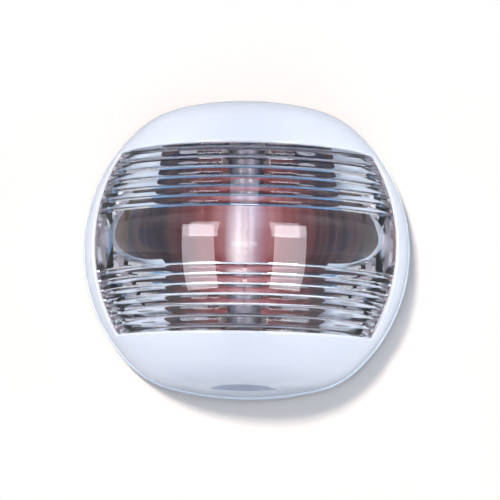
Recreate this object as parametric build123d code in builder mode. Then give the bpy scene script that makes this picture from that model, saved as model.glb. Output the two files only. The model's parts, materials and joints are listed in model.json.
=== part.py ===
"""Compact bulkhead navigation light, in millimetres.

Frame: the origin is at the centre of the rear mounting face, +Z is up, +X is to the right and the
lens faces -Y.  "Depth" below always means the distance in front of the mounting face, along -Y.
The casing is a solid of revolution about an upright axis, cut off flat behind: its front outline is
a circle flattened at the top and bottom by two shallow crowns.
"""
import os
from math import sqrt

from build123d import *

# ---- Casing outline ---------------------------------------------------------------------------
CASING_R = 40.0  # circle through the two sides
HALF_HEIGHT = 36.5  # centre to the top of the crown
CROWN_R = 73.0  # shallow arc of the top and bottom
SHOULDER_R = 20.0  # rounding between the side circle and a crown
AXIS_DEPTH = 2.0  # depth of the dome's upright axis

# ---- Window and lens --------------------------------------------------------------------------
WINDOW_HALF_WIDTH = 35.9
WINDOW_HALF_HEIGHT = 21.8
WINDOW_SIDE_R = 43.8  # bow of the window's sides, seen from the front
WINDOW_CORNER_R = 1.2
WINDOW_LIP_R = 0.4  # rounded outer edge of the window
LENS_GAP = 0.25  # all round, between lens and window
LENS_R = 39.45  # outer surface of the lens, a sphere
LENS_FLANGE_R = 36.9  # hidden flange behind the window's edges
LENS_FLANGE_HALF_HEIGHT = 24.5
LENS_INNER_R = 35.8
LENS_BACK = 9.5
BELT_HALF_HEIGHT = 6.3  # thick central belt
BELT_BULGE = 2.1  # how far the belt swells inward
PRISM_COUNT = 7  # above the belt, and the same below
PRISM_DEPTH = 0.9

# ---- Depths of the stacked pieces -------------------------------------------------------------
GASKET_T = 1.2
FLOOR_FRONT = 3.4
FLANGE_FRONT = 4.5
SPIGOT_FRONT = 8.0
SEAL_T = 0.9
COVER_BACK = 5.5
CARRIER_BACK = 9.0
CARRIER_FRONT = 11.5
CONTACT_T = 0.5
STRAP_T = 0.5

# ---- Walls and clearances ---------------------------------------------------------------------
GASKET_INSET = 1.5
COVER_INSET = 0.3
COVER_WALL = 2.2
SPIGOT_INSET = 3.2
SPIGOT_WALL = 1.6
SEAL_INSET = 0.9
SEAL_WIDTH = 1.3
SMALL_GAP = 0.05
FREE_GAP = 0.3

# ---- Places, as (x, z) seen from the front ------------------------------------------------------
FIXING_POINTS = ((-25.0, -12.0), (25.0, -12.0))
FIXING_HOLE_R = 2.2
CABLE_POINT = (0.0, -10.0)
CABLE_BORE_R = 2.75
GROMMET_WAIST_R = 4.5
GROMMET_FLANGE_R = 6.0
CARRIER_SCREW_POINTS = ((-14.0, 15.5), (14.0, 15.5))
BOSS_R = 3.0
PILOT_R = 1.1
TERMINAL_POINTS = ((-12.0, -16.5), (12.0, -16.5))
RIVET_X = 3.0
RIVET_Z = 19.7
RIVET_R = 0.8
RIVET_HEAD_R = 1.3
RIVET_HEAD_T = 0.6
STRAP_X = -7.5  # the upper strap's long run
STRAP_WIDTH = 3.4
TERMINAL_SCREW_R = 1.45
CLAMP_SIZE = 6.4
CLAMP_T = 1.8
CLAMP_ARCH = (3.4, 1.0)  # height and depth of the arch that a core lies in

# ---- Lamp carrier -----------------------------------------------------------------------------
CARRIER_HALF_HEIGHT = 22.0
CARRIER_TOP_HALF_WIDTH = 19.7
CARRIER_SHOULDER_HALF_WIDTH = 22.9
CARRIER_LOWER_HALF_WIDTH = 19.0
WING_HALF_WIDTH = 31.0
WING_HALF_HEIGHT = 6.0

# ---- Bulb -------------------------------------------------------------------------------------
BULB_DEPTH = 18.0
GLASS_R = 5.5
GLASS_WALL = 0.6
GLASS_SHOULDER_Z = 7.6
NECK_R = 3.45
NECK_Z = 9.6
CAP_R = 4.0
CAP_WALL = 0.5
CAP_START_Z = 9.9
CAP_SHOULDER_Z = 18.5
CAP_TIP_Z = 20.5
CAP_TIP_R = 1.0
FILAMENT_R = 0.5
FILAMENT_HALF = 2.8
LEAD_R = 0.25
CONTACT_Z = (14.8, 18.2)
CONTACT_REACH = 21.2  # depth where the contact's arms start to flare

# ---- Locating tongues and the release slot ----------------------------------------------------
TONGUE_T = 2.5
TONGUE_HALF_WIDTH = 5.0
TONGUE_OUTER_Z = 29.3  # outer face of each tongue, above and below the centre
TONGUE_FRONTS = {1: 16.0, -1: 22.0}  # depth reached by the upper (1) and lower (-1) tongue
GUIDE_T = 1.2
GUIDE_GAP = 0.25
GUIDE_DEPTHS = (8.6, 20.0)
SLOT_BACK = 15.7  # depth of the slot's straight rear edge
SLOT_WIDTH = 16.0
SLOT_LENGTH = 5.7  # rear edge to the middle of the arched front edge


# ---- Helpers ----------------------------------------------------------------------------------
def front_plane(depth):
    """Plane parallel to the mounting face and looking forward, at a depth."""
    return Plane.XZ.offset(depth)


DOME_AXIS = Axis((0, -AXIS_DEPTH, 0), (0, 0, -1))
BULB_PLANE = front_plane(BULB_DEPTH)
BULB_AXIS = Axis((0, -BULB_DEPTH, 0), (0, 0, 1))


def casing_outline(inset=0.0):
    """Front outline of the casing, moved in by inset."""
    with BuildSketch() as outline:
        Circle(CASING_R - inset)
        for side in (1, -1):
            with Locations((0, side * (HALF_HEIGHT - CROWN_R))):
                Circle(CROWN_R - inset, mode=Mode.INTERSECT)
        corners = outline.vertices().filter_by(lambda v: abs(v.Y) > HALF_HEIGHT / 2)
        fillet(corners, SHOULDER_R - inset)
    return outline.sketch


def window_outline(inset=0.0):
    """Front outline of the window: level above and below, bowed at the sides."""
    with BuildSketch() as outline:
        Rectangle(2 * CASING_R, 2 * (WINDOW_HALF_HEIGHT - inset))
        for side in (1, -1):
            with Locations((side * (WINDOW_HALF_WIDTH - WINDOW_SIDE_R), 0)):
                Circle(WINDOW_SIDE_R - inset, mode=Mode.INTERSECT)
        corners = outline.vertices().filter_by(lambda v: abs(v.Y) > WINDOW_HALF_HEIGHT / 2)
        fillet(corners, WINDOW_CORNER_R)
    return outline.sketch


def dome(inset):
    """The solid front half of the casing's rounded form, its surface set back by inset."""
    with BuildPart() as body:
        with BuildSketch(front_plane(AXIS_DEPTH)):
            add(casing_outline(inset))
            with Locations((CASING_R, 0)):
                Rectangle(2 * CASING_R, 4 * CASING_R, mode=Mode.INTERSECT)
        revolve(axis=DOME_AXIS, revolution_arc=180)
    return body.part


def ball_band(radius, half_height):
    """The front half of a ball about the dome's centre, cut level above and below."""
    with BuildPart() as body:
        with BuildSketch(front_plane(AXIS_DEPTH)):
            Circle(radius)
            with Locations((radius, 0)):
                Rectangle(2 * radius, 2 * half_height, mode=Mode.INTERSECT)
        revolve(axis=DOME_AXIS, revolution_arc=180)
    return body.part


def box_between(x_span, depth_span, z_span):
    """Box between two x values, two depths and two heights."""
    with BuildPart() as body:
        with BuildSketch(front_plane(min(depth_span))):
            with Locations((sum(x_span) / 2, sum(z_span) / 2)):
                Rectangle(x_span[1] - x_span[0], z_span[1] - z_span[0])
        extrude(amount=max(depth_span) - min(depth_span))
    return body.part


def sphere_wall(radius, height):
    """Distance of a ball's surface from its upright axis, at a height."""
    return sqrt(radius**2 - height**2)


def prism_points():
    """Inner wall of the lens from the top of the belt up to the flange: a flight of prisms.

    Each prism is thick on its belt side and thins out to the ball of LENS_INNER_R.
    """
    pitch = (WINDOW_HALF_HEIGHT - LENS_GAP - BELT_HALF_HEIGHT) / PRISM_COUNT
    points = []
    for number in range(PRISM_COUNT):
        low = BELT_HALF_HEIGHT + number * pitch
        high = low + pitch
        points.append((sphere_wall(LENS_INNER_R, low) - PRISM_DEPTH, low))
        points.append((sphere_wall(LENS_INNER_R, high), high))
    points.append((sphere_wall(LENS_INNER_R, LENS_FLANGE_HALF_HEIGHT + 1), LENS_FLANGE_HALF_HEIGHT + 1))
    return points


pieces = {}

# ---- Mounting gasket: soft pad between the base and the bulkhead -----------------------------------
with BuildPart() as mounting_gasket:
    with BuildSketch(front_plane(0)):
        add(casing_outline(GASKET_INSET))
        with Locations(*FIXING_POINTS):
            Circle(FIXING_HOLE_R, mode=Mode.SUBTRACT)
        with Locations(CABLE_POINT):
            Circle(GROMMET_FLANGE_R + FREE_GAP, mode=Mode.SUBTRACT)
    extrude(amount=GASKET_T)
pieces["mounting_gasket"] = mounting_gasket

# ---- Base housing: flange, floor, spigot, screw bosses and the two tongues -------------------------
with BuildPart() as base_housing:
    with BuildSketch(front_plane(GASKET_T)):
        add(casing_outline())
    extrude(amount=FLANGE_FRONT - GASKET_T)
    fillet(base_housing.faces().sort_by(Axis.Y)[0].edges(), 0.8)
    with BuildSketch(front_plane(FLANGE_FRONT)):
        add(casing_outline(SPIGOT_INSET))
    extrude(amount=SPIGOT_FRONT - FLANGE_FRONT)
    with BuildSketch(front_plane(FLOOR_FRONT)):
        add(casing_outline(SPIGOT_INSET + SPIGOT_WALL))
    extrude(amount=SPIGOT_FRONT - FLOOR_FRONT, mode=Mode.SUBTRACT)
    with BuildSketch(front_plane(FLOOR_FRONT)):
        with Locations(*CARRIER_SCREW_POINTS):
            Circle(BOSS_R)
    extrude(amount=CARRIER_BACK - FLOOR_FRONT)
    for side, front in TONGUE_FRONTS.items():
        heights = sorted((side * TONGUE_OUTER_Z, side * (TONGUE_OUTER_Z - TONGUE_T)))
        add(box_between((-TONGUE_HALF_WIDTH, TONGUE_HALF_WIDTH), (FLOOR_FRONT, front), heights))
    with BuildSketch(front_plane(GASKET_T)):
        with Locations(*FIXING_POINTS):
            Circle(FIXING_HOLE_R)
        with Locations(CABLE_POINT):
            Circle(GROMMET_WAIST_R)
    extrude(amount=FLOOR_FRONT - GASKET_T, mode=Mode.SUBTRACT)
    with BuildSketch(front_plane(CARRIER_BACK)):
        with Locations(*CARRIER_SCREW_POINTS):
            Circle(PILOT_R)
    extrude(amount=FLOOR_FRONT - CARRIER_BACK, mode=Mode.SUBTRACT)
pieces["base_housing"] = base_housing

# ---- Cable grommet: rubber bush in the floor's cable hole ------------------------------------------
with BuildPart() as cable_grommet:
    for near, far, radius in ((0.2, GASKET_T, GROMMET_FLANGE_R),
                              (GASKET_T, FLOOR_FRONT, GROMMET_WAIST_R),
                              (FLOOR_FRONT, FLOOR_FRONT + 1.8, GROMMET_FLANGE_R)):
        with BuildSketch(front_plane(near)):
            with Locations(CABLE_POINT):
                Circle(radius)
        extrude(amount=far - near)
    fillet(cable_grommet.faces().sort_by(Axis.Y)[0].edges(), 0.6)
    with BuildSketch(front_plane(0)):
        with Locations(CABLE_POINT):
            Circle(CABLE_BORE_R)
    extrude(amount=FLOOR_FRONT + 3, mode=Mode.SUBTRACT)
pieces["cable_grommet"] = cable_grommet

# ---- Cover seal: ring that the cover's rear edge closes on -----------------------------------------
with BuildPart() as cover_seal:
    with BuildSketch(front_plane(FLANGE_FRONT)):
        add(casing_outline(SEAL_INSET))
        add(casing_outline(SEAL_INSET + SEAL_WIDTH), mode=Mode.SUBTRACT)
    extrude(amount=SEAL_T)
pieces["cover_seal"] = cover_seal

# ---- Front cover: upper and lower caps joined by two slim side arms --------------------------------
with BuildPart() as front_cover:
    add(dome(COVER_INSET))
    split(bisect_by=front_plane(COVER_BACK), keep=Keep.TOP)
    with BuildSketch(front_plane(COVER_BACK)):
        add(window_outline())
    extrude(amount=2 * CASING_R, mode=Mode.SUBTRACT)
    lips = front_cover.edges(Select.LAST).filter_by(
        lambda e: e.bounding_box().min.Y < -COVER_BACK - 1 and e.center().Y < -COVER_BACK - 8)
    fillet(lips, WINDOW_LIP_R)
    add(dome(COVER_INSET + COVER_WALL), mode=Mode.SUBTRACT)
    # ribs either side of the two tongues
    with BuildPart(mode=Mode.PRIVATE) as guides:
        for side in (1, -1):
            heights = sorted((side * (TONGUE_OUTER_Z - TONGUE_T), side * HALF_HEIGHT))
            for hand in (1, -1):
                inner = hand * (TONGUE_HALF_WIDTH + GUIDE_GAP)
                across = sorted((inner, inner + hand * GUIDE_T))
                add(box_between(across, GUIDE_DEPTHS, heights))
        add(dome(COVER_INSET + COVER_WALL / 2), mode=Mode.INTERSECT)
    add(guides.part)
    # slot in the underside, where water drains and a blade frees the cover
    with BuildSketch(Plane.XY.offset(-HALF_HEIGHT)):
        with BuildLine():
            rear_edge = Line((-SLOT_WIDTH / 2, -SLOT_BACK), (SLOT_WIDTH / 2, -SLOT_BACK))
            ThreePointArc(rear_edge @ 0, (0, -SLOT_BACK - SLOT_LENGTH), rear_edge @ 1)
        make_face()
    extrude(amount=HALF_HEIGHT - TONGUE_OUTER_Z, mode=Mode.SUBTRACT)
pieces["front_cover"] = front_cover

# ---- Lens: clear barrel with a thick belt and prisms on its inner face ------------------------------
with BuildPart() as lens:
    add(ball_band(LENS_R, WINDOW_HALF_HEIGHT))
    with BuildSketch(front_plane(0)):
        add(window_outline(LENS_GAP))
    extrude(amount=2 * CASING_R, mode=Mode.INTERSECT)
    add(ball_band(LENS_FLANGE_R, LENS_FLANGE_HALF_HEIGHT))
    with BuildSketch(front_plane(AXIS_DEPTH)):
        with BuildLine():
            upper = Polyline(*prism_points())
            lower = mirror(upper, about=Plane.XZ)
            belt_r = sphere_wall(LENS_INNER_R, BELT_HALF_HEIGHT)
            belt_top = (belt_r, BELT_HALF_HEIGHT)
            belt_bottom = (belt_r, -BELT_HALF_HEIGHT)
            ThreePointArc(belt_bottom, (LENS_INNER_R - BELT_BULGE, 0), belt_top)
            Line(belt_top, upper @ 0)
            Line(belt_bottom, lower @ 0)
            Polyline(upper @ 1, (0, LENS_FLANGE_HALF_HEIGHT + 1), (0, -LENS_FLANGE_HALF_HEIGHT - 1), lower @ 1)
        make_face()
    revolve(axis=DOME_AXIS, revolution_arc=180, mode=Mode.SUBTRACT)
    split(bisect_by=front_plane(LENS_BACK), keep=Keep.TOP)
pieces["lens"] = lens


# ---- Lens seals: strips between the lens flange and the caps ----------------------------------------
def lens_seal(side):
    """Half-ring strip above (side 1) or below (side -1) the window."""
    low = WINDOW_HALF_HEIGHT + 0.5
    high = LENS_FLANGE_HALF_HEIGHT - 0.2
    with BuildPart() as seal:
        with BuildSketch(front_plane(AXIS_DEPTH)):
            Circle(CASING_R - COVER_INSET - COVER_WALL - SMALL_GAP)
            Circle(LENS_FLANGE_R + SMALL_GAP, mode=Mode.SUBTRACT)
            with Locations((CASING_R / 2, side * (low + high) / 2)):
                Rectangle(CASING_R, high - low, mode=Mode.INTERSECT)
        revolve(axis=DOME_AXIS, revolution_arc=180)
        split(bisect_by=front_plane(LENS_BACK), keep=Keep.TOP)
    return seal


pieces["upper_lens_seal"] = lens_seal(1)
pieces["lower_lens_seal"] = lens_seal(-1)

# ---- Lamp carrier: dark plate that holds the bulb's contacts ----------------------------------------
with BuildPart() as lamp_carrier:
    with BuildSketch(front_plane(CARRIER_BACK)):
        with BuildLine():
            Polyline((-CARRIER_TOP_HALF_WIDTH, CARRIER_HALF_HEIGHT), (CARRIER_TOP_HALF_WIDTH, CARRIER_HALF_HEIGHT),
                     (CARRIER_SHOULDER_HALF_WIDTH, 0), (CARRIER_LOWER_HALF_WIDTH, 0),
                     (CARRIER_LOWER_HALF_WIDTH, -CARRIER_HALF_HEIGHT),
                     (-CARRIER_LOWER_HALF_WIDTH, -CARRIER_HALF_HEIGHT), (-CARRIER_LOWER_HALF_WIDTH, 0),
                     (-CARRIER_SHOULDER_HALF_WIDTH, 0), close=True)
        make_face()
        SlotOverall(2 * WING_HALF_WIDTH, 2 * WING_HALF_HEIGHT)
    extrude(amount=CARRIER_FRONT - CARRIER_BACK)
    uprights = lamp_carrier.edges().filter_by(Axis.Y).filter_by(
        lambda e: abs(e.center().Z) > CARRIER_HALF_HEIGHT - 1)
    fillet(uprights, 2.5)
    fillet(lamp_carrier.faces().sort_by(Axis.Y)[0].edges(), 0.4)
    with BuildSketch(front_plane(CARRIER_FRONT)):
        with Locations(*CARRIER_SCREW_POINTS):
            Circle(PILOT_R + 0.2)
        with Locations(*TERMINAL_POINTS):
            Circle(TERMINAL_SCREW_R + SMALL_GAP)
        with GridLocations(2 * RIVET_X, 2 * RIVET_Z, 2, 2):
            Circle(RIVET_R + SMALL_GAP)
    extrude(amount=CARRIER_BACK - CARRIER_FRONT, mode=Mode.SUBTRACT)
pieces["lamp_carrier"] = lamp_carrier


def headed_screw(points, head_depth, tip_depth, shank_r, head_r, head_t):
    """Slotted pan-head screws at points, their heads' undersides at head_depth."""
    with BuildPart() as screws:
        with BuildSketch(front_plane(tip_depth)):
            with Locations(*points):
                Circle(shank_r)
        extrude(amount=head_depth - tip_depth)
        with BuildSketch(front_plane(head_depth)):
            with Locations(*points):
                Circle(head_r)
        extrude(amount=head_t)
        rims = screws.faces().filter_by(Plane.XZ).group_by(Axis.Y)[0].edges()
        fillet(rims, head_t * 0.45)
        with BuildSketch(front_plane(head_depth + head_t)):
            with Locations(*points):
                Rectangle(2 * head_r, 0.7, rotation=35)
        extrude(amount=-head_t / 2, mode=Mode.SUBTRACT)
    return screws


pieces["carrier_screws"] = headed_screw(CARRIER_SCREW_POINTS, CARRIER_FRONT, FLOOR_FRONT + 1,
                                        PILOT_R - SMALL_GAP, 2.3, 1.3)


# ---- Contacts: spring clips that grip the bulb's caps -----------------------------------------------
def contact(side):
    """Clip at the bulb's upper (side 1) or lower (side -1) cap: foot, two arms and flared lips."""
    arm_x = CAP_R + SMALL_GAP + CONTACT_T / 2
    middle = CARRIER_FRONT + CONTACT_T / 2
    low, high = CONTACT_Z
    with BuildPart() as clip:
        with BuildSketch(Plane.XY.offset(side * low)):
            with BuildLine() as right_side:
                FilletPolyline((0, -middle), (arm_x, -middle), (arm_x, -CONTACT_REACH),
                               (arm_x + 1.2, -CONTACT_REACH - 1.6), radius=0.6)
            trace(line_width=CONTACT_T)
            mirror(about=Plane.YZ)
        extrude(amount=side * (high - low))
        add(box_between((-arm_x, arm_x), (CARRIER_FRONT, CARRIER_FRONT + CONTACT_T),
                        sorted((side * low, side * (RIVET_Z + 1.6)))))
        with BuildSketch(front_plane(CARRIER_FRONT + CONTACT_T)):
            with Locations((-RIVET_X, side * RIVET_Z), (RIVET_X, side * RIVET_Z)):
                Circle(RIVET_R + SMALL_GAP)
        extrude(amount=-CONTACT_T, mode=Mode.SUBTRACT)
    return clip


pieces["upper_contact"] = contact(1)
pieces["lower_contact"] = contact(-1)

with BuildPart() as contact_rivets:
    with BuildSketch(front_plane(CARRIER_BACK - STRAP_T)):
        with GridLocations(2 * RIVET_X, 2 * RIVET_Z, 2, 2):
            Circle(RIVET_R)
    extrude(amount=CARRIER_FRONT + CONTACT_T - CARRIER_BACK + STRAP_T)
    for near, thickness in ((CARRIER_BACK - STRAP_T, -RIVET_HEAD_T), (CARRIER_FRONT + CONTACT_T, RIVET_HEAD_T)):
        with BuildSketch(front_plane(near)):
            with GridLocations(2 * RIVET_X, 2 * RIVET_Z, 2, 2):
                Circle(RIVET_HEAD_R)
        extrude(amount=thickness)
pieces["contact_rivets"] = contact_rivets


# ---- Straps: strips on the carrier's rear face, from the contacts to the terminals ------------------
def strap(side):
    """Strip from the upper (side 1) or lower (side -1) contact to its terminal."""
    terminal_x, terminal_z = TERMINAL_POINTS[0] if side > 0 else TERMINAL_POINTS[1]
    with BuildPart() as strip:
        with BuildSketch(front_plane(CARRIER_BACK - STRAP_T)):
            with BuildLine():
                if side > 0:
                    Polyline((0, RIVET_Z), (STRAP_X, RIVET_Z), (STRAP_X, terminal_z + 9), TERMINAL_POINTS[0])
                else:
                    Polyline((0, -RIVET_Z), (terminal_x, -RIVET_Z), (terminal_x, terminal_z - 1))
            trace(line_width=STRAP_WIDTH)
            with Locations((0, side * RIVET_Z)):
                Rectangle(2 * RIVET_X + 3.6, STRAP_WIDTH)
            with Locations((-RIVET_X, side * RIVET_Z), (RIVET_X, side * RIVET_Z)):
                Circle(RIVET_R + SMALL_GAP, mode=Mode.SUBTRACT)
            with Locations((terminal_x, terminal_z)):
                Circle(STRAP_WIDTH)
                Circle(TERMINAL_SCREW_R + SMALL_GAP, mode=Mode.SUBTRACT)
        extrude(amount=STRAP_T)
    return strip


pieces["upper_strap"] = strap(1)
pieces["lower_strap"] = strap(-1)

# ---- Terminals: saddle clamps and their screws -------------------------------------------------------
with BuildPart() as terminal_clamps:
    with BuildSketch(front_plane(CARRIER_FRONT)):
        with Locations(*TERMINAL_POINTS):
            RectangleRounded(CLAMP_SIZE, CLAMP_SIZE, 0.8)
    extrude(amount=CLAMP_T)
    with BuildSketch(front_plane(CARRIER_FRONT)):
        with Locations(*TERMINAL_POINTS):
            Rectangle(CLAMP_SIZE, CLAMP_ARCH[0])
    extrude(amount=CLAMP_ARCH[1], mode=Mode.SUBTRACT)
    with BuildSketch(front_plane(CARRIER_FRONT + CLAMP_T)):
        with Locations(*TERMINAL_POINTS):
            Circle(TERMINAL_SCREW_R + SMALL_GAP)
    extrude(amount=-CLAMP_T, mode=Mode.SUBTRACT)
pieces["terminal_clamps"] = terminal_clamps
pieces["terminal_screws"] = headed_screw(TERMINAL_POINTS, CARRIER_FRONT + CLAMP_T, CARRIER_BACK - 2,
                                         TERMINAL_SCREW_R, 2.6, 1.5)

# ---- Bulb: glass tube held between two metal caps -----------------------------------------------------
with BuildPart() as bulb_glass:
    with BuildSketch(BULB_PLANE):
        with BuildLine():
            outer = FilletPolyline((NECK_R, NECK_Z + 2.5), (NECK_R, NECK_Z - 0.4), (GLASS_R, GLASS_SHOULDER_Z),
                                   (GLASS_R, -GLASS_SHOULDER_Z), (NECK_R, 0.4 - NECK_Z),
                                   (NECK_R, -NECK_Z - 2.5), radius=0.9)
            Polyline(outer @ 0, (0, NECK_Z + 2.5), (0, -NECK_Z - 2.5), outer @ 1)
        make_face()
    revolve(axis=BULB_AXIS)
    with BuildSketch(BULB_PLANE):
        with BuildLine():
            inner_neck = NECK_R - GLASS_WALL
            inner_tube = GLASS_R - GLASS_WALL
            hollow = FilletPolyline((inner_neck, NECK_Z + 3), (inner_neck, NECK_Z - 0.7),
                                    (inner_tube, GLASS_SHOULDER_Z - 0.3), (inner_tube, 0.3 - GLASS_SHOULDER_Z),
                                    (inner_neck, 0.7 - NECK_Z), (inner_neck, -NECK_Z - 3), radius=0.7)
            Polyline(hollow @ 0, (0, NECK_Z + 3), (0, -NECK_Z - 3), hollow @ 1)
        make_face()
    revolve(axis=BULB_AXIS, mode=Mode.SUBTRACT)
pieces["bulb_glass"] = bulb_glass


def bulb_cap(side):
    """Metal cap with a blunt cone on the upper (side 1) or lower (side -1) end of the glass."""
    with BuildPart() as cap:
        with BuildSketch(BULB_PLANE):
            with BuildLine():
                Polyline((CAP_R - CAP_WALL, side * CAP_START_Z), (CAP_R, side * CAP_START_Z),
                         (CAP_R, side * CAP_SHOULDER_Z), (CAP_TIP_R, side * CAP_TIP_Z), (0, side * CAP_TIP_Z),
                         (0, side * (CAP_SHOULDER_Z - 0.2)), (CAP_R - CAP_WALL, side * (CAP_SHOULDER_Z - 0.2)),
                         close=True)
            make_face()
        revolve(axis=BULB_AXIS)
    return cap


pieces["upper_bulb_cap"] = bulb_cap(1)
pieces["lower_bulb_cap"] = bulb_cap(-1)

with BuildPart() as bulb_filament:
    with BuildSketch(Plane.XY.offset(-FILAMENT_HALF)):
        with Locations((0, -BULB_DEPTH)):
            Circle(FILAMENT_R)
    extrude(amount=2 * FILAMENT_HALF)
pieces["bulb_filament"] = bulb_filament

with BuildPart() as filament_leads:
    for side in (1, -1):
        with BuildSketch(Plane.XY.offset(side * (FILAMENT_HALF + 0.02))):
            with Locations((0, -BULB_DEPTH)):
                Circle(LEAD_R)
        extrude(amount=side * (CAP_SHOULDER_Z - 0.3 - FILAMENT_HALF))
pieces["filament_leads"] = filament_leads

# ---- Write every piece ----------------------------------------------------------------------------------
os.makedirs("parts", exist_ok=True)
for name, piece in pieces.items():
    piece.part.label = name
    export_step(piece.part, f"parts/{name}.step")
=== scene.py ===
"""Looks of a compact bulkhead navigation light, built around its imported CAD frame.

The frame is in metres: the origin is at the centre of the rear mounting face, +Z is up, +X is to
the right and the lens faces -Y.  The casing and the lens are turned about an upright axis that
stands a little in front of the mounting face, so the round pieces below are spun about it.
"""
from __future__ import annotations

import json
import logging
import math
from dataclasses import dataclass, field
from enum import Enum

import bmesh
import bpy
from mathutils import Matrix, Vector

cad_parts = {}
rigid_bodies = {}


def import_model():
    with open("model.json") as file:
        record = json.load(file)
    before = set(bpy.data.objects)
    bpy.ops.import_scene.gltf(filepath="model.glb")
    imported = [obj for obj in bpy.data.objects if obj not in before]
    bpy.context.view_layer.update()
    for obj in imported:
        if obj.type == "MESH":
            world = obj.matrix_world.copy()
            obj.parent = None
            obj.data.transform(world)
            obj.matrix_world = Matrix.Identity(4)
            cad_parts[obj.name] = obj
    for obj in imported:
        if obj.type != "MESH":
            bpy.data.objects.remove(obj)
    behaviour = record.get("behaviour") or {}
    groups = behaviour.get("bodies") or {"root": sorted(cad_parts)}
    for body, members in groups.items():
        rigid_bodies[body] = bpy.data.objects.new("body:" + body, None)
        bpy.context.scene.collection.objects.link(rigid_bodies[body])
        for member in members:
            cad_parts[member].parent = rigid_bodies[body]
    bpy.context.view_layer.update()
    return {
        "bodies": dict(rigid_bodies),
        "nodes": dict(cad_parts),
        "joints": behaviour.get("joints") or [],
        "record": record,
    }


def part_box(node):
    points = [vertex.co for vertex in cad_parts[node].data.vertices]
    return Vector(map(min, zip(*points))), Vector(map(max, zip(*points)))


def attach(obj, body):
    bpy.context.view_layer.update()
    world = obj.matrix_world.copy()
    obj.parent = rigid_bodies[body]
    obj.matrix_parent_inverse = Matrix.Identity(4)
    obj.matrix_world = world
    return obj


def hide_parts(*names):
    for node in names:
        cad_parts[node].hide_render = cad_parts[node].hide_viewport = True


LOG = logging.getLogger("navigation_light")
MM = 0.001
Colour = tuple[float, float, float]


class Slot(Enum):
    """Material slots of the record that new pieces take their finish from."""

    LENS = "clear_lens"
    BULB_METAL = "bulb_metal"


class Body(Enum):
    """Moving bodies of the frame that carry new pieces."""

    COVER = "cover"
    BULB = "bulb"


# ---- Shader maths -----------------------------------------------------------------------------
class Signal:
    """A number that varies over a surface, as one output socket of a node tree."""

    def __init__(self, graph: "Graph", socket: bpy.types.NodeSocket) -> None:
        """Wraps a socket of the graph's tree."""
        self.graph = graph
        self.socket = socket

    def _math(self, operation: str, first: "Signal | float", second: "Signal | float") -> "Signal":
        """Adds a Math node and returns its result."""
        return self.graph.node("ShaderNodeMath", {"operation": operation}, {0: first, 1: second})

    def __add__(self, other: "Signal | float") -> "Signal":
        """Sum of two values."""
        return self._math("ADD", self, other)

    __radd__ = __add__

    def __mul__(self, other: "Signal | float") -> "Signal":
        """Product of two values."""
        return self._math("MULTIPLY", self, other)

    __rmul__ = __mul__

    def __sub__(self, other: "Signal | float") -> "Signal":
        """This value less another."""
        return self._math("SUBTRACT", self, other)

    def __rsub__(self, other: float) -> "Signal":
        """A number less this value."""
        return self._math("SUBTRACT", other, self)

    def __pow__(self, power: float) -> "Signal":
        """This value raised to a power."""
        return self._math("POWER", self, power)


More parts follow.
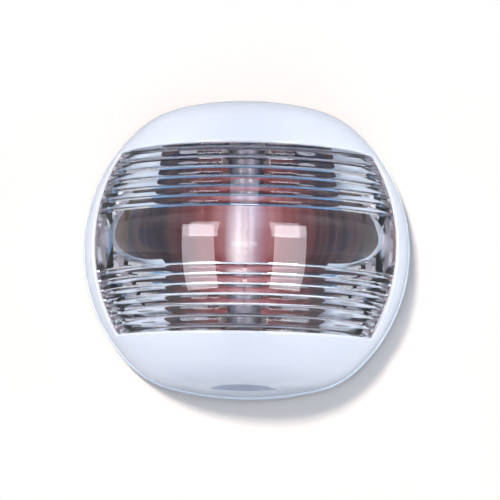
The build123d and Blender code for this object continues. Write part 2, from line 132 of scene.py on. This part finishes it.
class Graph:
    """The node tree of one material, with short ways to add nodes to it."""

    def __init__(self, name: str) -> None:
        """Makes a material that holds only its output node.

        Args:
            name: The material's name.
        """
        self.material = bpy.data.materials.new(name)
        self.material.use_nodes = True
        self.tree = self.material.node_tree
        self.tree.nodes.clear()
        self.output = self.tree.nodes.new("ShaderNodeOutputMaterial")

    def node(self, kind: str, settings: dict | None = None, inputs: dict | None = None,
             output: int | str = 0) -> Signal:
        """Adds one node.

        Args:
            kind: The node's type name.
            settings: Attributes to set on the node before its sockets; "ramp" holds colour stops.
            inputs: Socket name or number to a value or a Signal.
            output: Which output to return.

        Returns:
            The chosen output.
        """
        made = self.tree.nodes.new(kind)
        for key, value in (settings or {}).items():
            if key == "ramp":
                self._set_ramp(made.color_ramp, value)
            else:
                setattr(made, key, value)
        for key, value in (inputs or {}).items():
            if isinstance(value, Signal):
                self.tree.links.new(value.socket, made.inputs[key])
            else:
                made.inputs[key].default_value = value
        return Signal(self, made.outputs[output])

    @staticmethod
    def _set_ramp(ramp: bpy.types.ColorRamp, stops: list[tuple[float, float]]) -> None:
        """Gives a colour ramp its stops.

        Args:
            ramp: The ramp, with its two default stops.
            stops: Grey stops as (position, brightness).
        """
        while len(ramp.elements) < len(stops):
            ramp.elements.new(0.5)
        for element, (position, grey) in zip(ramp.elements, stops):
            element.position = position
            element.color = (grey, grey, grey, 1.0)

    def place(self, centre: Vector | tuple = (0, 0, 0), scale: tuple = (1, 1, 1)) -> Signal:
        """Object coordinates centred on a point and scaled along each axis.

        Args:
            centre: The point that becomes the origin, in metres.
            scale: Factor along each axis.

        Returns:
            The mapped coordinates.
        """
        coords = self.node("ShaderNodeTexCoord", output="Object")
        shift = tuple(-c * s for c, s in zip(centre, scale))
        return self.node("ShaderNodeMapping", inputs={"Vector": coords, "Location": shift, "Scale": scale})

    def noise(self, scale: float, detail: float = 3.0, vector: Signal | None = None) -> Signal:
        """Soft noise between 0 and 1 on object coordinates; scale is in cells per metre."""
        return self.node("ShaderNodeTexNoise", inputs={
            "Vector": vector or self.place(), "Scale": scale, "Detail": detail})

    def ramp(self, value: Signal, *stops: tuple[float, float]) -> Signal:
        """A value passed through a grey colour ramp."""
        return self.node("ShaderNodeValToRGB", {"ramp": list(stops)}, {"Fac": value})

    def blend(self, factor: Signal, first: Colour | Signal, second: Colour | Signal) -> Signal:
        """Colour that goes from first to second as factor goes from 0 to 1."""
        pair = [c if isinstance(c, Signal) else (*c, 1.0) for c in (first, second)]
        return self.node("ShaderNodeMix", {"data_type": "RGBA"}, {0: factor, 6: pair[0], 7: pair[1]}, 2)

    def bump(self, height: Signal, strength: float, distance: float) -> Signal:
        """Normal from a height; distance is the relief in metres."""
        return self.node("ShaderNodeBump", inputs={
            "Height": height, "Strength": strength, "Distance": distance})

    def principled(self, **inputs: Signal | float | tuple) -> Signal:
        """Adds a Principled BSDF; underscores in the names stand for spaces."""
        return self.node("ShaderNodeBsdfPrincipled",
                         inputs={key.replace("_", " "): value for key, value in inputs.items()})

    def finish(self, shader: Signal) -> bpy.types.Material:
        """Joins the shader to the output and returns the material."""
        self.tree.links.new(shader.socket, self.output.inputs["Surface"])
        return self.material


# ---- Finishes ---------------------------------------------------------------------------------
@dataclass(frozen=True)
class GlossMoulding:
    """Glossy weather-resistant plastic with a faint flow mottle and fine handling marks."""

    name: str
    colour: Colour
    shade: Colour
    roughness: float = 0.13
    flow_cells: float = 70.0
    mark_cells: float = 2400.0
    peel_cells: float = 420.0
    peel_depth: float = 0.04 * MM

    def material(self) -> bpy.types.Material:
        """Builds the material.

        Returns:
            The finished material.
        """
        g = Graph(self.name)
        flow = g.noise(self.flow_cells, 4.0)
        marks = g.noise(self.mark_cells, 2.0)
        rough = self.roughness + 0.05 * flow + 0.05 * g.ramp(marks, (0.55, 0.0), (0.75, 1.0))
        orange_peel = g.bump(g.noise(self.peel_cells, 2.0), 0.10, self.peel_depth)
        return g.finish(g.principled(
            Base_Color=g.blend(g.ramp(flow, (0.35, 0.0), (0.7, 1.0)), self.colour, self.shade),
            Roughness=rough, Normal=orange_peel, IOR=1.5, Coat_Weight=0.35, Coat_Roughness=0.05,
            Subsurface_Weight=0.08, Subsurface_Radius=(0.9, 0.95, 1.0), Subsurface_Scale=0.002))


@dataclass(frozen=True)
class SatinMoulding:
    """Dark satin plastic with upright flow streaks, a fine grain and a painted glow that stands for the bulb's
    light falling on it.
    """

    name: str
    colour: Colour
    streak: Colour
    painted_glow_centre: Vector
    painted_glow_near: Colour = (1.0, 0.62, 0.68)
    painted_glow_far: Colour = (0.36, 0.05, 0.06)
    painted_glow_strength: float = 0.55
    painted_glow_reach: float = 19.0 * MM
    roughness: float = 0.55
    streak_cells: tuple[float, float, float] = (900.0, 900.0, 45.0)
    grain_cells: float = 5200.0
    relief: float = 0.06 * MM

    def material(self) -> bpy.types.Material:
        """Builds the material.

        Returns:
            The finished material.
        """
        g = Graph(self.name)
        streaks = g.noise(1.0, 4.0, g.place(scale=self.streak_cells))
        grain = g.noise(self.grain_cells, 2.0)
        # Painted glow: emission that fades from pink-white near the bulb to dark red, in place of the bulb's
        # light on the plate.
        away = g.node("ShaderNodeVectorMath", {"operation": "LENGTH"}, {
            0: g.place(self.painted_glow_centre, (1 / self.painted_glow_reach,) * 3)}, "Value")
        painted_far_glow = g.blend(g.ramp(1.0 - away, (0.0, 0.0), (0.6, 1.0)), (0.0, 0.0, 0.0), self.painted_glow_far)
        painted_glow = g.blend(g.ramp(1.0 - away, (0.5, 0.0), (0.95, 1.0)), painted_far_glow, self.painted_glow_near)
        return g.finish(g.principled(
            Base_Color=g.blend(g.ramp(streaks, (0.42, 0.0), (0.72, 1.0)), self.colour, self.streak),
            Roughness=self.roughness + 0.16 * grain,
            Emission_Color=painted_glow, Emission_Strength=self.painted_glow_strength,
            Normal=g.bump(grain + 0.6 * streaks, 0.35, self.relief), IOR=1.48, Specular_IOR_Level=0.15))


@dataclass(frozen=True)
class SoftRubber:
    """Matt rubber or foam with a pored skin and a dusty bloom."""

    name: str
    colour: Colour
    bloom: Colour
    pore_cells: float = 3600.0
    dust_cells: float = 160.0
    pore_depth: float = 0.1 * MM

    def material(self) -> bpy.types.Material:
        """Builds the material.

        Returns:
            The finished material.
        """
        g = Graph(self.name)
        pores = g.noise(self.pore_cells, 3.0)
        dust = g.noise(self.dust_cells, 4.0)
        return g.finish(g.principled(
            Base_Color=g.blend(g.ramp(dust, (0.4, 0.0), (0.8, 1.0)), self.colour, self.bloom),
            Roughness=0.72 + 0.2 * pores, Normal=g.bump(pores, 0.5, self.pore_depth), IOR=1.45))


@dataclass(frozen=True)
class Metal:
    """Drawn, rolled or turned metal with fine grain and a little tarnish."""

    name: str
    colour: Colour
    tarnish: Colour
    roughness: float
    line_cells: tuple[float, float, float] = (2600.0, 2600.0, 180.0)
    patch_cells: float = 300.0
    line_depth: float = 0.02 * MM

    def material(self) -> bpy.types.Material:
        """Builds the material.

        Returns:
            The finished material.
        """
        g = Graph(self.name)
        lines = g.noise(1.0, 3.0, g.place(scale=self.line_cells))
        patches = g.ramp(g.noise(self.patch_cells, 4.0), (0.45, 0.0), (0.75, 1.0))
        return g.finish(g.principled(
            Base_Color=g.blend(patches, self.colour, self.tarnish), Metallic=1.0 - 0.12 * patches,
            Roughness=self.roughness + 0.14 * lines + 0.16 * patches,
            Normal=g.bump(lines, 0.25, self.line_depth)))


@dataclass(frozen=True)
class ClearMoulding:
    """Thick clear acrylic that bends light, with faint flow waves under the polish.

    Most shadow rays pass straight through, so that light reaches the pieces behind it.
    """

    name: str
    tint: Colour
    ior: float = 1.49
    shadow_pass: float = 0.85
    wave_cells: float = 55.0
    smear_cells: float = 900.0
    wave_depth: float = 0.4 * MM

    def material(self) -> bpy.types.Material:
        """Builds the material.

        Returns:
            The finished material.
        """
        g = Graph(self.name)
        waves = g.noise(self.wave_cells, 2.0)
        clear = g.principled(
            Base_Color=self.tint + (1.0,), Transmission_Weight=1.0, IOR=self.ior,
            Roughness=0.015 + 0.03 * g.ramp(g.noise(self.smear_cells, 3.0), (0.6, 0.0), (0.85, 1.0)),
            Normal=g.bump(waves, 0.08, self.wave_depth))
        shadow = g.node("ShaderNodeLightPath", output="Is Shadow Ray")
        passing = g.node("ShaderNodeBsdfTransparent")
        return g.finish(g.node("ShaderNodeMixShader", inputs={
            0: self.shadow_pass * shadow, 1: clear, 2: passing}))


@dataclass(frozen=True)
class LitBulbGlass:
    """Thin bulb glass: clear below, hazed above with a painted pale highlight, and lit by the filament's
    painted glow.

    The glow and the haze shine by themselves, in place of the filament's light inside the glass.
    """

    name: str
    centre: Vector
    bare: Colour = (0.01, 0.008, 0.008)
    core: Colour = (1.0, 0.86, 0.90)
    haze_colour: Colour = (0.03, 0.025, 0.03)
    # Painted highlight on the upper haze and painted red halo round the core, both shone as emission.
    painted_haze_highlight: Colour = (0.50, 0.42, 0.57)
    painted_red_halo: Colour = (0.26, 0.06, 0.08)
    reach: float = 6.5 * MM
    haze_step: float = 5.0 * MM
    haze_offset: Vector = field(default_factory=lambda: Vector((2.0 * MM, 0.0, 2.6 * MM)))
    haze_reach: float = 7.5 * MM

    def material(self) -> bpy.types.Material:
        """Builds the material.

        Returns:
            The finished material.
        """
        g = Graph(self.name)
        near = g.node("ShaderNodeVectorMath", {"operation": "LENGTH"}, {
            0: g.place(self.centre, (1 / self.reach,) * 3)}, "Value")
        glow = g.ramp(1.0 - near, (0.0, 0.0), (0.3, 0.12), (0.62, 0.6), (0.85, 1.0))
        rise = g.node("ShaderNodeSeparateXYZ", inputs={
            "Vector": g.place(self.centre, (1 / self.haze_step,) * 3)}, output="Z")
        spread = g.node("ShaderNodeVectorMath", {"operation": "LENGTH"}, {
            0: g.place(self.centre + self.haze_offset, (1 / self.haze_reach,) * 3)}, "Value")
        upper = g.ramp(0.5 + 0.25 * rise, (0.30, 0.0), (0.68, 1.0))
        haze_and_highlight = upper * g.ramp(1.0 - spread, (0.1, 0.0), (0.75, 1.0))
        # Painted glow: red halo where the haze is thin, pale painted highlight where it is thick.
        soft = g.blend(haze_and_highlight, self.painted_red_halo, self.painted_haze_highlight)
        shine = g.principled(
            Base_Color=g.blend(haze_and_highlight, self.bare, self.haze_colour), Roughness=0.04 + 0.2 * haze_and_highlight,
            IOR=1.52, Emission_Strength=1.0, Emission_Color=g.blend(glow, soft, self.core))
        clear = g.node("ShaderNodeBsdfTransparent")
        edge = g.node("ShaderNodeLayerWeight", inputs={"Blend": 0.35}, output="Facing")
        cover = 0.08 + 0.30 * edge ** 2.0 + 0.50 * haze_and_highlight + 0.35 * glow
        return g.finish(g.node("ShaderNodeMixShader", inputs={0: cover, 1: clear, 2: shine}))


@dataclass(frozen=True)
class GlowingWire:
    """White-hot tungsten wire."""

    name: str
    colour: Colour
    hottest: Colour
    strength: float
    heat_cells: float = 1500.0

    def material(self) -> bpy.types.Material:
        """Builds the material.

        Returns:
            The finished material.
        """
        g = Graph(self.name)
        heat = g.noise(self.heat_cells, 2.0)
        return g.finish(g.principled(
            Base_Color=(0.2, 0.2, 0.2, 1.0), Roughness=0.4 + 0.1 * heat, Metallic=1.0,
            Emission_Color=g.blend(heat, self.colour, self.hottest), Emission_Strength=self.strength))


# ---- Mesh helpers -----------------------------------------------------------------------------
def make_piece(name: str, mesh: bmesh.types.BMesh, material: bpy.types.Material,
               sharp_angle: float = 35.0) -> bpy.types.Object:
    """Turns a bmesh in metres into a linked object with smooth shading.

    Args:
        name: The piece's name.
        mesh: The shape, with its place in it; it is freed.
        material: The only material of the piece.
        sharp_angle: Edges that turn by more than this many degrees stay sharp.

    Returns:
        The new object, at the origin.
    """
    data = bpy.data.meshes.new(name)
    mesh.to_mesh(data)
    mesh.free()
    for polygon in data.polygons:
        polygon.use_smooth = True
    data.set_sharp_from_angle(angle=math.radians(sharp_angle))
    piece = bpy.data.objects.new(name, data)
    piece.data.materials.append(material)
    bpy.context.scene.collection.objects.link(piece)
    return piece


def dress(frame: dict, finish: bpy.types.Material, *nodes: str) -> None:
    """Gives CAD nodes a finish in every material slot they have.

    Args:
        finish: The material.
        nodes: Names of the CAD nodes.
    """
    for node in nodes:
        for slot in frame["nodes"][node].material_slots:
            slot.material = finish
        LOG.info("dressed %s", node)


# ---- Sub-assemblies ---------------------------------------------------------------------------
@dataclass
class LensBarrel:
    """Clear lens: a ball-shaped pane in the window, a hidden flange, a belt and prisms inside."""

    outer_radius: float = 39.45 * MM
    flange_radius: float = 36.9 * MM
    inner_radius: float = 35.8 * MM
    pane_half_height: float = 21.55 * MM
    belt_half_height: float = 6.3 * MM
    belt_bulge: float = 2.1 * MM
    prism_count: int = 7
    prism_depth: float = 0.7 * MM
    prism_steps: int = 10
    prism_lean: float = 0.75
    pane_half_angle: float = math.radians(64.7)
    edge_slack: float = math.radians(0.05)
    outer_steps: int = 40
    belt_steps: int = 16
    side_steps: int = 26
    pane_steps: int = 150
    axis: Vector = field(default_factory=lambda: Vector((0.0, -2.0 * MM, 0.0)))
    clear: ClearMoulding = ClearMoulding("clear_acrylic", tint=(0.97, 0.985, 1.0))
    seal: SoftRubber = SoftRubber("grey_seal_rubber", colour=(0.42, 0.44, 0.47), bloom=(0.55, 0.57, 0.6))

    def wall(self, radius: float, height: float) -> float:
        """Distance of a ball's surface from the upright axis at a height."""
        return math.sqrt(radius ** 2 - height ** 2)

    def outer_profile(self, radius: float) -> list[tuple[float, float]]:
        """Outer wall from the bottom flange to the top one.

        Args:
            radius: Radius of the pane's ball.

        Returns:
            Points as (distance, height).
        """
        pane = []
        for step in range(self.outer_steps + 1):
            height = self.pane_half_height * (2 * step / self.outer_steps - 1)
            pane.append((self.wall(radius, height), height))
        low_lip = (self.wall(self.flange_radius, self.pane_half_height), -self.pane_half_height)
        high_lip = (low_lip[0], self.pane_half_height)
        return [low_lip] + pane + [high_lip]

    def prism_profile(self) -> list[tuple[float, float]]:
        """Inner wall from the belt's top edge up to the pane's, each prism's face a swelling curve.

        Returns:
            Points as (distance, height).
        """
        pitch = (self.pane_half_height - self.belt_half_height) / self.prism_count
        points = []
        for number in range(self.prism_count):
            low = self.belt_half_height + number * pitch
            for step in range(self.prism_steps + 1):
                along = step / self.prism_steps
                swell = self.prism_depth * math.sin(math.pi * along ** self.prism_lean)
                height = low + along * pitch
                points.append((self.wall(self.inner_radius, height) - swell, height))
        return points

    def belt_profile(self) -> list[tuple[float, float]]:
        """Inner face of the belt from its top edge down to its bottom edge, one smooth swell.

        Returns:
            Points as (distance, height), without the two edges.
        """
        edge = self.wall(self.inner_radius, self.belt_half_height)
        points = []
        for step in range(1, self.belt_steps):
            height = self.belt_half_height * (1 - 2 * step / self.belt_steps)
            swell = 1 - (height / self.belt_half_height) ** 2
            middle = self.inner_radius - self.belt_bulge
            points.append((edge + (middle - edge) * swell, height))
        return points

    def build(self, half_height: float, back: float) -> bmesh.types.BMesh:
        """Spins the section about the upright axis and shapes the ends.

        Args:
            half_height: Height of the flange above the centre.
            back: The y value where the lens ends at the back.

        Returns:
            The closed shape.
        """
        prisms = self.prism_profile()
        section = self.outer_profile(self.outer_radius)
        section += [(self.wall(self.flange_radius, half_height), half_height),
                    (self.wall(self.inner_radius, half_height), half_height)]
        section += list(reversed(prisms)) + self.belt_profile()
        section += [(distance, -height) for distance, height in prisms]
        section += [(self.wall(self.inner_radius, half_height), -half_height),
                    (self.wall(self.flange_radius, half_height), -half_height)]
        mesh = bmesh.new()
        start = [mesh.verts.new(self.axis + Vector((distance, 0.0, height)))
                 for distance, height in section]
        loop = [mesh.edges.new(pair) for pair in zip(start, start[1:] + start[:1])]
        geometry = start + loop
        side = math.pi / 2 - self.pane_half_angle
        for angle, steps in ((side, self.side_steps), (2 * self.pane_half_angle, self.pane_steps),
                             (side, self.side_steps)):
            spun = bmesh.ops.spin(mesh, geom=geometry, cent=self.axis, axis=(0, 0, -1),
                                  angle=angle, steps=steps)
            geometry = spun["geom_last"]
        self.lower_sides(mesh)
        everything = mesh.verts[:] + mesh.edges[:] + mesh.faces[:]
        cut = bmesh.ops.bisect_plane(mesh, geom=everything, plane_co=(0, back, 0), plane_no=(0, 1, 0),
                                     clear_outer=True)
        rim = [e for e in cut["geom_cut"] if isinstance(e, bmesh.types.BMEdge)]
        bmesh.ops.edgenet_fill(mesh, edges=rim)
        bmesh.ops.remove_doubles(mesh, verts=mesh.verts[:], dist=1e-7)
        bmesh.ops.recalc_face_normals(mesh, faces=mesh.faces[:])
        return mesh

    def lower_sides(self, mesh: bmesh.types.BMesh) -> None:
        """Brings the outer wall down to the flange's radius beyond the window's two sides.

        Args:
            mesh: The spun lens, changed in place.
        """
        limit = self.pane_half_angle + self.edge_slack
        for vert in mesh.verts:
            flat = Vector((vert.co.x, vert.co.y - self.axis.y))
            azimuth = abs(math.atan2(flat.x, -flat.y))
            outer = self.wall(self.outer_radius, min(abs(vert.co.z), self.pane_half_height))
            if azimuth > limit and abs(flat.length - outer) < 1e-6:
                flat *= self.wall(self.flange_radius, vert.co.z) / flat.length
                vert.co.x, vert.co.y = flat.x, flat.y + self.axis.y

    def add(self, frame: dict) -> None:
        """Makes the lens in place of the CAD node and dresses its seals.
        """
        _, back, half_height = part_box("lens")[1]
        mesh = self.build(half_height, back)
        lens = make_piece("clear_lens_barrel", mesh, self.clear.material())
        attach(lens, Body.COVER.value)
        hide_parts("lens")
        LOG.info("made %s", lens.name)
        dress(frame, self.seal.material(), "upper_lens_seal", "lower_lens_seal", "cover_seal")


@dataclass
class Casing:
    """White cover and base, the base tinted with painted blue shade, and the soft pad behind them."""

    white: GlossMoulding = GlossMoulding("white_gloss_moulding", colour=(0.75, 0.78, 0.85),
                                         shade=(0.72, 0.76, 0.84))
    # White plastic tinted blue-grey: painted cool shade inside the lens and a painted blue edge at the rim.
    white_with_painted_blue_shade: GlossMoulding = GlossMoulding("white_moulding_with_painted_blue_shade", colour=(0.74, 0.83, 0.93),
                                              shade=(0.70, 0.80, 0.91), roughness=0.3)
    black: SoftRubber = SoftRubber("black_gasket_rubber", colour=(0.025, 0.025, 0.027),
                                   bloom=(0.07, 0.07, 0.072))

    def add(self, frame: dict) -> None:
        """Dresses the casing's CAD nodes.
        """
        dress(frame, self.white.material(), "front_cover")
        dress(frame, self.white_with_painted_blue_shade.material(), "base_housing")
        dress(frame, self.black.material(), "mounting_gasket", "cable_grommet")


@dataclass
class LampCarrier:
    """Dark plate with the bulb's contacts, their straps and the terminals."""

    black: Colour = (0.018, 0.009, 0.007)
    streak: Colour = (0.070, 0.034, 0.024)
    plated: Metal = Metal("plated_brass", colour=(0.38, 0.33, 0.28), tarnish=(0.24, 0.19, 0.14), roughness=0.34)
    steel: Metal = Metal("stainless_fittings", colour=(0.36, 0.35, 0.36), tarnish=(0.24, 0.24, 0.25),
                         roughness=0.34)

    def add(self, frame: dict) -> None:
        """Dresses the carrier's CAD nodes.
        """
        low, high = (Vector(corner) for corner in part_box("bulb_filament"))
        # Centre of the plate's painted glow of the bulb's light, level with the filament.
        painted_glow_centre = Vector((0.0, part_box("lamp_carrier")[0][1], (low.z + high.z) / 2))
        black = SatinMoulding("black_satin_moulding", self.black, self.streak, painted_glow_centre)
        dress(frame, black.material(), "lamp_carrier")
        dress(frame, self.plated.material(), "upper_contact", "lower_contact", "contact_rivets",
              "upper_strap", "lower_strap")
        dress(frame, self.steel.material(), "carrier_screws", "terminal_clamps", "terminal_screws")


@dataclass
class FestoonBulb:
    """Upright tubular bulb: lit glass, plated caps and a coiled filament."""

    coil_radius: float = 0.45 * MM
    wire_radius: float = 0.09 * MM
    turns: int = 14
    points_per_turn: int = 14
    wire: GlowingWire = GlowingWire("hot_tungsten", colour=(1.0, 0.5, 0.5), hottest=(1.0, 0.8, 0.75),
                                    strength=1.5)
    caps: Metal = Metal("bulb_cap_plating", colour=(0.20, 0.18, 0.20), tarnish=(0.13, 0.11, 0.11),
                        roughness=0.32)
    leads: Metal = Metal("lead_wire", colour=(0.16, 0.14, 0.14), tarnish=(0.1, 0.09, 0.09), roughness=0.4)
    glow_offset: Vector = field(default_factory=lambda: Vector((-1.5 * MM, -5.0 * MM, 0.2 * MM)))
    light_watts: float = 0.008
    light_colour: Colour = (1.0, 0.16, 0.18)
    light_radius: float = 4.0 * MM

    def coil(self, low: Vector, high: Vector) -> bpy.types.Object:
        """Winds the filament between the two leads, as a round-section curve.

        Args:
            low: Lowest corner of the filament's space.
            high: Highest corner of the filament's space.

        Returns:
            The filament as a curve object.
        """
        centre = (low + high) / 2
        length = high.z - low.z
        data = bpy.data.curves.new("filament_coil", "CURVE")
        data.dimensions = "3D"
        data.bevel_depth = self.wire_radius
        data.bevel_resolution = 2
        total = self.turns * self.points_per_turn
        spline = data.splines.new("NURBS")
        spline.points.add(total)
        for index in range(total + 1):
            angle = 2 * math.pi * index / self.points_per_turn
            reach = self.coil_radius * min(1.0, index / self.points_per_turn,
                                           (total - index) / self.points_per_turn)
            spline.points[index].co = (centre.x + reach * math.cos(angle), centre.y + reach * math.sin(angle),
                                       low.z + length * index / total, 1.0)
        spline.order_u = 3
        spline.use_endpoint_u = True
        coil = bpy.data.objects.new("filament_coil", data)
        coil.data.materials.append(self.wire.material())
        bpy.context.scene.collection.objects.link(coil)
        return coil

    def light(self, centre: Vector) -> None:
        """Adds the light that the filament throws on the pieces around it.

        Args:
            centre: The filament's middle.
        """
        data = bpy.data.lights.new("filament_light", "POINT")
        data.energy = self.light_watts
        data.color = self.light_colour
        data.shadow_soft_size = self.light_radius
        lamp = bpy.data.objects.new("filament_light", data)
        lamp.location = centre
        lamp.visible_glossy = False
        lamp.visible_transmission = False
        bpy.context.scene.collection.objects.link(lamp)
        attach(lamp, Body.BULB.value)

    def add(self, frame: dict) -> None:
        """Makes the filament and dresses the bulb's CAD nodes.
        """
        low, high = (Vector(corner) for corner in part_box("bulb_filament"))
        coil = self.coil(low, high)
        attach(coil, Body.BULB.value)
        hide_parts("bulb_filament")
        centre = (low + high) / 2
        glass = LitBulbGlass("lit_bulb_glass", centre + self.glow_offset)
        dress(frame, glass.material(), "bulb_glass")
        dress(frame, self.caps.material(), "upper_bulb_cap", "lower_bulb_cap")
        dress(frame, self.leads.material(), "filament_leads")
        self.light(centre)


# ---- Studio -----------------------------------------------------------------------------------
def direction(azimuth: float, elevation: float) -> Vector:
    """Unit vector from the origin: degrees to the right of straight ahead, and degrees up."""
    around, up = math.radians(azimuth), math.radians(elevation)
    return Vector((math.sin(around) * math.cos(up), -math.cos(around) * math.cos(up), math.sin(up)))


LAVENDER: Colour = (0.96, 0.93, 1.0)
CREAM: Colour = (1.0, 0.90, 0.80)
WARM_WHITE: Colour = (1.0, 0.98, 0.94)


class Role(Enum):
    """What a panel of light is for."""

    MIRRORED = "shows in gloss and through the clear pieces, and lights nothing else"
    FILLING = "lights the surfaces, and doesn't show in gloss or through the clear pieces"


@dataclass(frozen=True)
class LightPanel:
    """Soft rectangular light that faces the origin; angles in degrees, lengths in metres."""

    name: str
    role: Role
    azimuth: float
    elevation: float
    distance: float
    size: tuple[float, float]
    watts: float
    colour: Colour

    def add(self) -> None:
        """Adds the light."""
        data = bpy.data.lights.new(self.name, "AREA")
        data.shape = "RECTANGLE"
        data.size, data.size_y = self.size
        data.energy = self.watts
        data.color = self.colour
        lamp = bpy.data.objects.new(self.name, data)
        towards = direction(self.azimuth, self.elevation)
        lamp.location = towards * self.distance
        lamp.rotation_mode = "QUATERNION"
        lamp.rotation_quaternion = (-towards).to_track_quat("-Z", "Y")
        lamp.visible_diffuse = self.role is Role.FILLING
        lamp.visible_glossy = lamp.visible_transmission = self.role is Role.MIRRORED
        bpy.context.scene.collection.objects.link(lamp)


@dataclass
class Studio:
    """Plain floor and wall, soft lights and the camera."""

    camera_distance: float = 0.4951
    camera_azimuth: float = 1.13
    camera_elevation: float = -6.14
    camera_roll: float = 0.95
    lens_mm: float = 144.4
    shift: tuple[float, float] = (0.0069, 0.0038)
    floor_z: float = -0.6
    sky: Colour = (0.22, 0.42, 0.74)
    sky_ahead: Colour = (0.08, 0.09, 0.11)
    sky_strength: float = 1.0
    wall_seen: Colour = (0.93, 0.86, 0.80)
    wall_bounced: Colour = (0.50, 0.50, 0.50)
    floor_colour: Colour = (0.85, 0.86, 0.88)
    wall_gap: float = 0.4 * MM
    half_extent: float = 2.5
    panels: tuple[LightPanel, ...] = (
        LightPanel("left_softbox", Role.MIRRORED, -32.0, -9.5, 0.8, (0.32, 0.62), 4.8, LAVENDER),
        LightPanel("left_softbox_top", Role.MIRRORED, -32.0, 8.0, 0.79, (0.32, 0.1), 0.35, LAVENDER),
        LightPanel("right_softbox", Role.MIRRORED, 31.0, -9.5, 0.8, (0.32, 0.62), 4.8, LAVENDER),
        LightPanel("right_softbox_top", Role.MIRRORED, 31.0, 8.0, 0.79, (0.32, 0.1), 0.35, LAVENDER),
        LightPanel("window_panel", Role.MIRRORED, -1.0, 36.0, 1.2, (0.38, 0.38), 1.2, (0.86, 0.86, 1.0)),
        LightPanel("key_panel", Role.FILLING, -15.0, 19.0, 1.3, (0.17, 0.17), 13.0, (1.0, 0.94, 0.88)),
        LightPanel("over_panel", Role.FILLING, 0.0, 80.0, 1.0, (0.4, 0.3), 1.0, CREAM),
        LightPanel("under_panel", Role.FILLING, 0.0, -80.0, 1.0, (0.4, 0.3), 3.6, CREAM),
        LightPanel("left_panel", Role.FILLING, -84.0, 0.0, 1.0, (0.3, 0.6), 4.4, WARM_WHITE),
        LightPanel("right_panel", Role.FILLING, 84.0, 0.0, 1.0, (0.3, 0.6), 8.6, WARM_WHITE))

    def camera(self) -> None:
        """Sets the camera below the light's axis, looking slightly up at it."""
        data = bpy.data.cameras.new("camera")
        data.lens = self.lens_mm
        data.sensor_width = 36.0
        data.shift_x, data.shift_y = self.shift
        data.clip_start, data.clip_end = 0.01, 20.0
        camera = bpy.data.objects.new("camera", data)
        back = direction(self.camera_azimuth, self.camera_elevation)
        camera.location = back * self.camera_distance
        aim = (-back).to_track_quat("-Z", "Y").to_matrix().to_4x4()
        roll = Matrix.Rotation(math.radians(self.camera_roll), 4, "Z")
        camera.rotation_mode = "QUATERNION"
        camera.rotation_quaternion = (aim @ roll).to_quaternion()
        bpy.context.scene.collection.objects.link(camera)
        bpy.context.scene.camera = camera

    def backdrop(self) -> None:
        """Adds the floor, and a wall that shows only from its front, so the light's back can be seen.

        The wall is brighter to the camera than it is as a reflector.
        """
        g = Graph("pale_floor")
        pale = g.finish(g.principled(Base_Color=self.floor_colour + (1.0,), Roughness=0.7))
        w = Graph("pale_wall")
        seen = w.node("ShaderNodeBsdfDiffuse", inputs={"Color": self.wall_seen + (1.0,)})
        bounced = w.node("ShaderNodeBsdfDiffuse", inputs={"Color": self.wall_bounced + (1.0,)})
        direct = w.node("ShaderNodeLightPath", output="Is Camera Ray")
        solid = w.node("ShaderNodeMixShader", inputs={0: direct, 1: bounced, 2: seen})
        behind = w.node("ShaderNodeNewGeometry", output="Backfacing")
        clear = w.node("ShaderNodeBsdfTransparent")
        one_sided = w.finish(w.node("ShaderNodeMixShader", inputs={0: behind, 1: solid, 2: clear}))
        upright = Matrix.Translation((0, self.wall_gap, 0)) @ Matrix.Rotation(math.pi / 2, 4, "X")
        for name, material, matrix in (
                ("floor", pale, Matrix.Translation((0, 0, self.floor_z))),
                ("wall", one_sided, upright)):
            mesh = bmesh.new()
            bmesh.ops.create_grid(mesh, x_segments=1, y_segments=1, size=self.half_extent, matrix=matrix)
            plane = make_piece(name, mesh, material)

    def world(self) -> None:
        """Makes a sky that is dim straight ahead of the object and bright to its sides, above and below."""
        world = bpy.data.worlds.new("soft_sky")
        bpy.context.scene.world = world
        world.use_nodes = True
        nodes, links = world.node_tree.nodes, world.node_tree.links
        coords = nodes.new("ShaderNodeTexCoord")
        parts = nodes.new("ShaderNodeSeparateXYZ")
        ahead = nodes.new("ShaderNodeMath")
        ahead.operation = "ABSOLUTE"
        mix = nodes.new("ShaderNodeMix")
        mix.data_type = "RGBA"
        mix.inputs[6].default_value = self.sky + (1.0,)
        mix.inputs[7].default_value = self.sky_ahead + (1.0,)
        links.new(coords.outputs["Generated"], parts.inputs["Vector"])
        links.new(parts.outputs["Y"], ahead.inputs[0])
        links.new(ahead.outputs[0], mix.inputs[0])
        links.new(mix.outputs[2], nodes["Background"].inputs["Color"])
        nodes["Background"].inputs["Strength"].default_value = self.sky_strength

    def add(self) -> None:
        """Builds the whole studio."""
        self.camera()
        self.backdrop()
        self.world()
        for panel in self.panels:
            panel.add()
        bpy.context.scene.view_settings.view_transform = "Standard"


def main() -> None:
    """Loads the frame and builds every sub-assembly."""
    logging.basicConfig(level=logging.INFO, format="%(name)s: %(message)s")
    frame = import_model()
    Studio().add()
    for assembly in (Casing(), LensBarrel(), LampCarrier(), FestoonBulb()):
        assembly.add(frame)
        LOG.info("finished %s", type(assembly).__name__)


if __name__ == "__main__":
    main()
